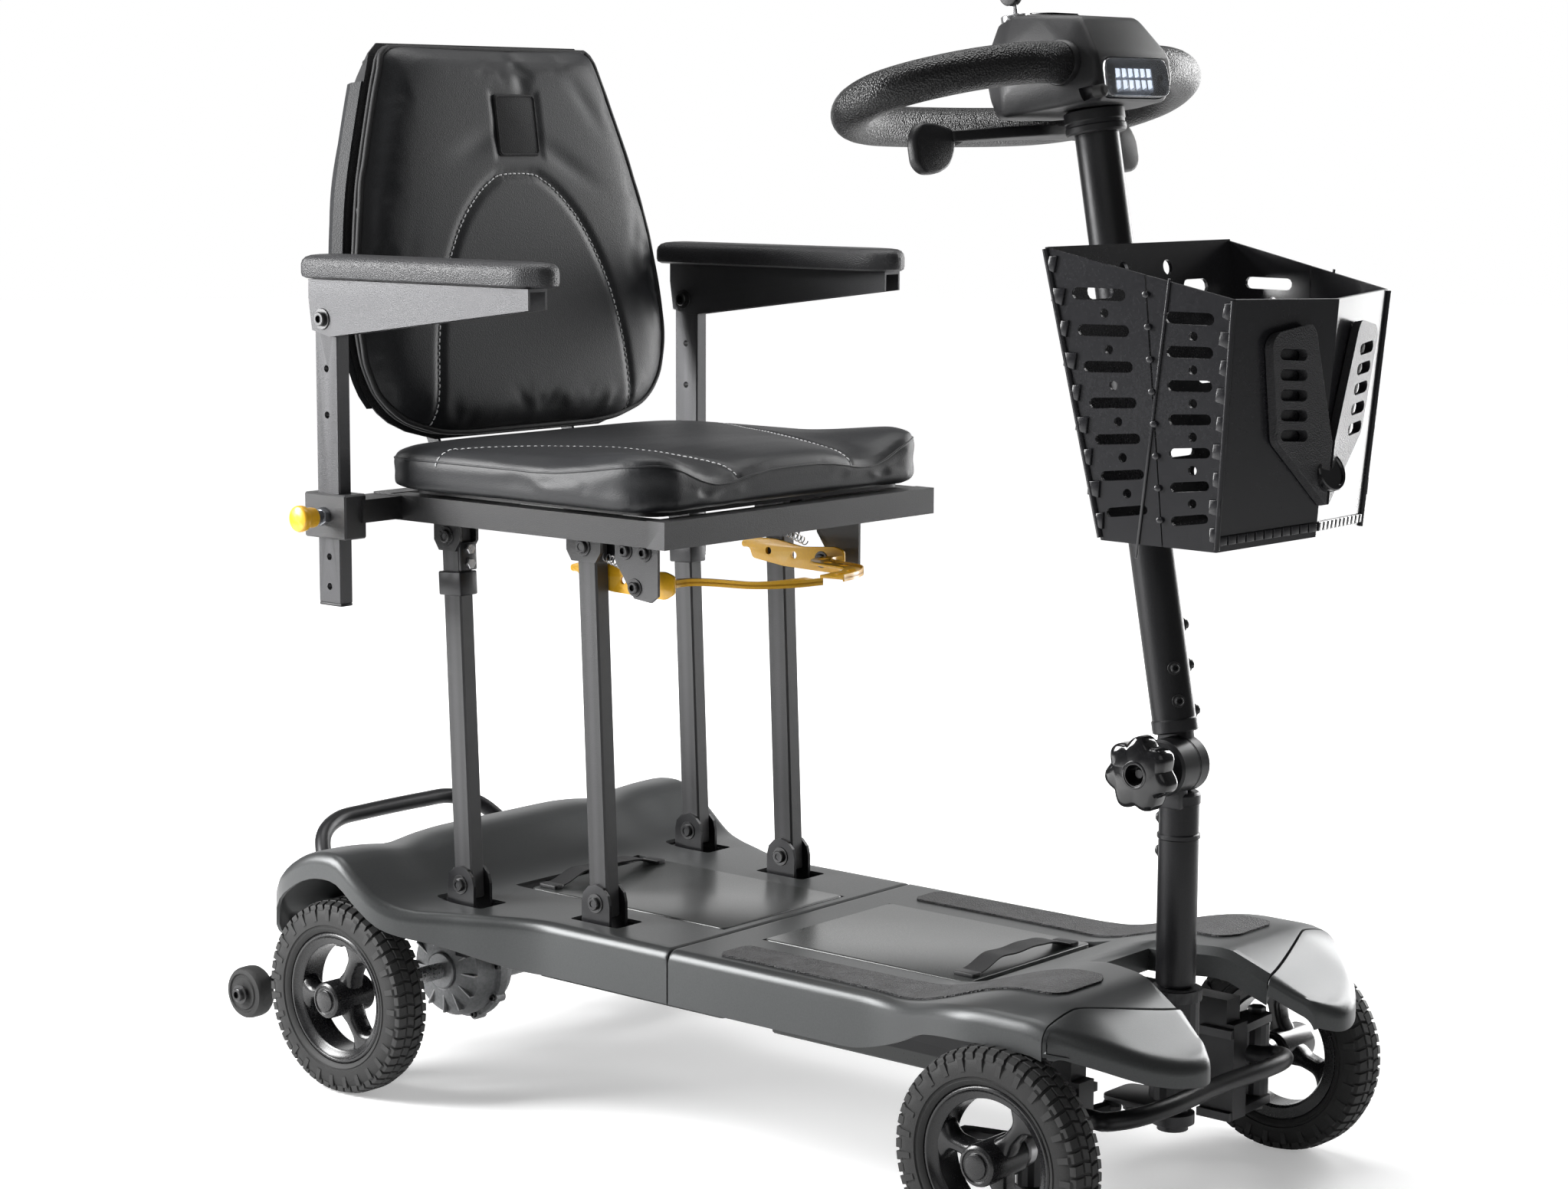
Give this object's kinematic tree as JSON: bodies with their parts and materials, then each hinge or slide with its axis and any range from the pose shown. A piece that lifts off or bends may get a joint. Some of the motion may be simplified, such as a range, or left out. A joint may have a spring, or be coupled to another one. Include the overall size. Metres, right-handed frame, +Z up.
{
  "type": "folding mobility scooter",
  "caption": "Folding four-wheel mobility scooter with a padded seat and backrest, flip-up armrests, a slotted front basket, a closed-loop handle and a low deck with lift-out battery packs.",
  "frame": {"origin": "on the floor under the middle of the whole object's bounding box", "axes": "+Z up, the front of the scooter faces -Y, +X is the seated rider's left"},
  "size_m": [0.549, 1.0929, 0.9794],
  "materials": {
    "cover_gunmetal": "satin gunmetal paint",
    "frame_charcoal": "fine textured charcoal powder coat",
    "black_metal": "satin black powder coat",
    "black_plastic": "satin black moulded plastic",
    "gloss_plastic": "gloss black plastic",
    "tyre_rubber": "solid black rubber tyre",
    "roller_rubber": "black rubber roller",
    "foam_grip": "grained black foam",
    "leather": "smooth near-black artificial leather",
    "webbing": "woven black strap",
    "grit": "coarse anti-slip grit",
    "cast_metal": "grey cast aluminium",
    "yellow": "safety yellow",
    "lens": "clear lamp lens",
    "pack_lid": "satin dark grey pack lid",
    "steel": "bright steel"
  },
  "bodies": {
    "chassis": {"chassis_frame": "black_metal", "rear_cover": "cover_gunmetal", "front_cover": "cover_gunmetal", "front_nose_left": "cover_gunmetal", "front_nose_right": "cover_gunmetal", "rear_grab_bar": "black_metal", "front_bumper": "black_metal", "transaxle": "cast_metal", "drive_motor": "black_metal", "motor_controller": "black_plastic", "grip_strip_left": "grit", "grip_strip_right": "grit"},
    "rear_pack": {"rear_battery": "pack_lid", "rear_battery_strap": "webbing"},
    "front_pack": {"front_battery": "pack_lid", "front_battery_strap": "webbing"},
    "steering": {"steering_column": "black_metal"},
    "tiller": {"upper_tiller_tube": "black_metal", "tiller_head": "black_plastic", "headlight_lens": "lens", "handle_loop": "foam_grip"},
    "clamp_knob": {"hinge_knob": "gloss_plastic"},
    "key": {"ignition_key": "black_plastic"},
    "throttle": {"throttle_paddle": "black_plastic"},
    "front_basket": {"basket": "black_plastic", "basket_grille": "black_plastic"},
    "seat": {"seat_frame": "frame_charcoal", "seat_cushion": "leather"},
    "backrest": {"backrest_frame": "black_metal", "backrest_pad": "leather"},
    "knuckle_left": {"knuckle_left": "black_metal"},
    "tie_rod_left": {"tie_rod_left": "black_metal"},
    "front_wheel_left": {"tyre_front_left": "tyre_rubber", "rim_front_left": "gloss_plastic"},
    "rear_wheel_left": {"tyre_rear_left": "tyre_rubber", "rim_rear_left": "gloss_plastic", "rear_axle_left": "steel"},
    "anti_tip_left": {"anti_tip_wheel_left": "roller_rubber"},
    "post_left": {"armrest_post_left": "frame_charcoal"},
    "armrest_left": {"armrest_bracket_left": "frame_charcoal", "armrest_pad_left": "black_plastic"},
    "plunger_left": {"post_plunger_left": "yellow"},
    "latch_left": {"latch_lever_left": "yellow"},
    "knuckle_right": {"knuckle_right": "black_metal"},
    "tie_rod_right": {"tie_rod_right": "black_metal"},
    "front_wheel_right": {"tyre_front_right": "tyre_rubber", "rim_front_right": "gloss_plastic"},
    "rear_wheel_right": {"tyre_rear_right": "tyre_rubber", "rim_rear_right": "gloss_plastic", "rear_axle_right": "steel"},
    "anti_tip_right": {"anti_tip_wheel_right": "roller_rubber"},
    "post_right": {"armrest_post_right": "frame_charcoal"},
    "armrest_right": {"armrest_bracket_right": "frame_charcoal", "armrest_pad_right": "black_plastic"},
    "plunger_right": {"post_plunger_right": "yellow"},
    "latch_right": {"latch_lever_right": "yellow"},
    "rear_leg_left": {"rear_leg_left": "frame_charcoal"},
    "rear_leg_right": {"rear_leg_right": "frame_charcoal"},
    "front_leg_left": {"front_leg_left": "frame_charcoal"},
    "front_leg_right": {"front_leg_right": "frame_charcoal"}
  },
  "joints": [
    {"name": "steering_turn", "type": "hinge", "parent": "chassis", "child": "steering", "pos_m": [0, -0.414, 0.0875], "axis": [0, 0, 1], "range_deg": [-25, 25]},
    {"name": "tiller_fold", "type": "hinge", "parent": "steering", "child": "tiller", "pos_m": [0, -0.414, 0.365], "axis": [-1, 0, 0], "range_deg": [0, 35]},
    {"name": "knob_turn", "type": "hinge", "parent": "steering", "child": "clamp_knob", "pos_m": [-0.054, -0.414, 0.365], "axis": [1, 0, 0], "continuous": true},
    {"name": "throttle_swing", "type": "hinge", "parent": "tiller", "child": "throttle", "pos_m": [0, -0.27705, 0.85635], "axis": [0, 0.1805, 0.9836], "range_deg": [-12, 12], "stiffness_Nm_per_rad": 0.4},
    {"name": "key_turn", "type": "hinge", "parent": "tiller", "child": "key", "pos_m": [-0.022, -0.2583, 0.94746], "axis": [0, 0.1805, 0.9836], "range_deg": [0, 60]},
    {"name": "basket_lift_off", "type": "slide", "parent": "tiller", "child": "front_basket", "axis": [0, -0.6, 0.8], "range_m": [0, 0.25]},
    {"name": "kingpin_left", "type": "hinge", "parent": "chassis", "child": "knuckle_left", "pos_m": [0.16, -0.3906, 0.0875], "axis": [0, 0, 1], "range_deg": [-25, 25]},
    {"name": "tie_rod_ball_left", "type": "hinge", "parent": "steering", "child": "tie_rod_left", "pos_m": [0.013, -0.364, 0.079], "axis": [0, 0, 1], "range_deg": [-25, 25]},
    {"name": "front_wheel_spin_left", "type": "hinge", "parent": "knuckle_left", "child": "front_wheel_left", "pos_m": [0.203, -0.3906, 0.0875], "axis": [1, 0, 0], "continuous": true},
    {"name": "rear_wheel_spin_left", "type": "hinge", "parent": "chassis", "child": "rear_wheel_left", "pos_m": [0.2075, 0.331, 0.0875], "axis": [1, 0, 0], "continuous": true},
    {"name": "anti_tip_spin_left", "type": "hinge", "parent": "chassis", "child": "anti_tip_left", "pos_m": [0.158, 0.522, 0.047], "axis": [1, 0, 0], "continuous": true},
    {"name": "armrest_height_left", "type": "slide", "parent": "seat", "child": "post_left", "axis": [0, 0, 1], "range_m": [-0.075, 0.055]},
    {"name": "armrest_flip_left", "type": "hinge", "parent": "post_left", "child": "armrest_left", "pos_m": [0.231, 0.3117, 0.695], "axis": [1, 0, 0], "range_deg": [-90, 0]},
    {"name": "plunger_pull_left", "type": "slide", "parent": "seat", "child": "plunger_left", "axis": [1, 0, 0], "range_m": [0, 0.008], "stiffness_N_per_m": 800},
    {"name": "latch_pull_left", "type": "hinge", "parent": "seat", "child": "latch_left", "pos_m": [0.1125, 0.046, 0.4755], "axis": [-1, 0, 0], "range_deg": [0, 12], "stiffness_Nm_per_rad": 1, "springref_deg": -5.73},
    {"name": "kingpin_right", "type": "hinge", "parent": "chassis", "child": "knuckle_right", "pos_m": [-0.16, -0.3906, 0.0875], "axis": [0, 0, 1], "range_deg": [-25, 25]},
    {"name": "tie_rod_ball_right", "type": "hinge", "parent": "steering", "child": "tie_rod_right", "pos_m": [-0.013, -0.364, 0.079], "axis": [0, 0, 1], "range_deg": [-25, 25]},
    {"name": "front_wheel_spin_right", "type": "hinge", "parent": "knuckle_right", "child": "front_wheel_right", "pos_m": [-0.203, -0.3906, 0.0875], "axis": [1, 0, 0], "continuous": true},
    {"name": "rear_wheel_spin_right", "type": "hinge", "parent": "chassis", "child": "rear_wheel_right", "pos_m": [-0.2075, 0.331, 0.0875], "axis": [1, 0, 0], "continuous": true},
    {"name": "anti_tip_spin_right", "type": "hinge", "parent": "chassis", "child": "anti_tip_right", "pos_m": [-0.158, 0.522, 0.047], "axis": [1, 0, 0], "continuous": true},
    {"name": "armrest_height_right", "type": "slide", "parent": "seat", "child": "post_right", "axis": [0, 0, 1], "range_m": [-0.075, 0.055]},
    {"name": "armrest_flip_right", "type": "hinge", "parent": "post_right", "child": "armrest_right", "pos_m": [-0.231, 0.3117, 0.695], "axis": [1, 0, 0], "range_deg": [-90, 0]},
    {"name": "plunger_pull_right", "type": "slide", "parent": "seat", "child": "plunger_right", "axis": [-1, 0, 0], "range_m": [0, 0.008], "stiffness_N_per_m": 800},
    {"name": "latch_pull_right", "type": "hinge", "parent": "seat", "child": "latch_right", "pos_m": [-0.1125, 0.046, 0.4755], "axis": [-1, 0, 0], "range_deg": [0, 12], "stiffness_Nm_per_rad": 1, "springref_deg": -5.73},
    {"name": "seat_fold", "type": "hinge", "parent": "chassis", "child": "rear_leg_left", "pos_m": [0.15, 0.2323, 0.196], "axis": [1, 0, 0], "range_deg": [0, 80]},
    {"name": "seat_fold_rear_leg_right", "type": "hinge", "parent": "chassis", "child": "rear_leg_right", "pos_m": [-0.15, 0.2323, 0.196], "axis": [1, 0, 0], "range_deg": [0, 80]},
    {"name": "seat_fold_front_leg_left", "type": "hinge", "parent": "chassis", "child": "front_leg_left", "pos_m": [0.123, 0.0934, 0.196], "axis": [1, 0, 0], "range_deg": [0, 80]},
    {"name": "seat_fold_front_leg_right", "type": "hinge", "parent": "chassis", "child": "front_leg_right", "pos_m": [-0.123, 0.0934, 0.196], "axis": [1, 0, 0], "range_deg": [0, 80]},
    {"name": "seat_stays_level", "type": "hinge", "parent": "rear_leg_left", "child": "seat", "pos_m": [0.15, 0.24499, 0.50524], "axis": [1, 0, 0], "range_deg": [-80, 0]},
    {"name": "backrest_fold", "type": "hinge", "parent": "seat", "child": "backrest", "pos_m": [0, 0.346, 0.64], "axis": [1, 0, 0], "range_deg": [0, 70]},
    {"name": "rear_pack_lift", "type": "slide", "parent": "chassis", "child": "rear_pack", "axis": [0, 0, -1], "range_m": [-0.12, 0]},
    {"name": "front_pack_lift", "type": "slide", "parent": "chassis", "child": "front_pack", "axis": [0, 0, -1], "range_m": [-0.12, 0]}
  ],
  "couplings": [
    {"joint": "kingpin_left", "follows": "steering_turn", "ratio": 1},
    {"joint": "tie_rod_ball_left", "follows": "steering_turn", "ratio": -1},
    {"joint": "kingpin_right", "follows": "steering_turn", "ratio": 1},
    {"joint": "tie_rod_ball_right", "follows": "steering_turn", "ratio": -1},
    {"joint": "seat_fold_rear_leg_right", "follows": "seat_fold", "ratio": 1},
    {"joint": "seat_fold_front_leg_left", "follows": "seat_fold", "ratio": 1},
    {"joint": "seat_fold_front_leg_right", "follows": "seat_fold", "ratio": 1},
    {"joint": "seat_stays_level", "follows": "seat_fold", "ratio": -1}
  ]
}
